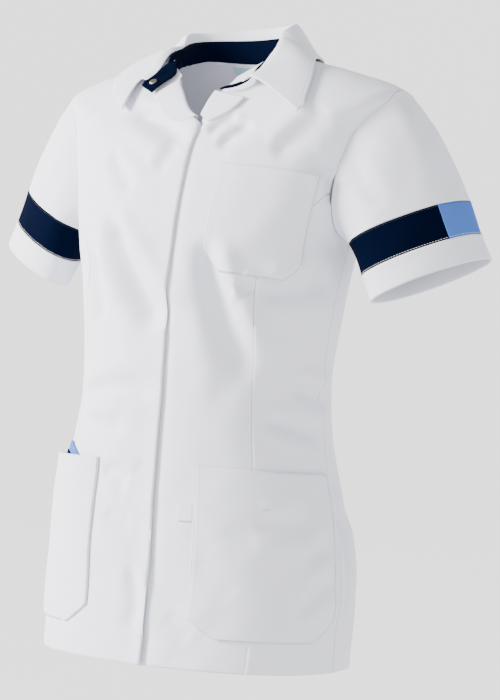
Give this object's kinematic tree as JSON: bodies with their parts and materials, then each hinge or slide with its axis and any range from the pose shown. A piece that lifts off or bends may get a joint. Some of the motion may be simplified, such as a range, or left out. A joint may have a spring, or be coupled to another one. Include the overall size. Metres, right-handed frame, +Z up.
{
  "type": "medical tunic",
  "caption": "Short-sleeved medical tunic in its worn form, hollow, with an open turned-down collar, concealed front closing, patch pockets and coloured sleeve bands.",
  "frame": {"origin": "midway between the two points where the shoulder seams meet the neck seam", "axes": "+Z up, -Y out of the front, +X to the wearer's left"},
  "size_m": [0.6366, 0.292, 0.7328],
  "materials": {
    "white_cloth": "fine white poplin, slightly bluish",
    "navy_cloth": "matt navy poplin",
    "light_blue_cloth": "matt light blue poplin",
    "label_cloth": "smooth pale aqua ribbon",
    "stud_metal": "satin"
  },
  "bodies": {
    "root": {"back": "white_cloth", "front_right": "white_cloth", "front_left": "white_cloth", "side_front_right": "white_cloth", "side_front_left": "white_cloth", "sleeve_right": "white_cloth", "sleeve_left": "white_cloth", "band_navy_right": "navy_cloth", "band_navy_left": "navy_cloth", "band_blue_right": "light_blue_cloth", "band_blue_left": "light_blue_cloth", "cuff_right": "white_cloth", "cuff_left": "white_cloth", "lapel_right": "white_cloth", "lapel_left": "white_cloth", "stand": "navy_cloth", "stud_cap": "stud_metal", "collar": "white_cloth", "chest_pocket": "white_cloth", "hip_pocket_right": "white_cloth", "hip_pocket_left": "white_cloth", "pocket_facing_blue": "light_blue_cloth", "pocket_facing_navy": "navy_cloth", "neck_label": "label_cloth", "tab_label": "white_cloth"}
  },
  "joints": []
}
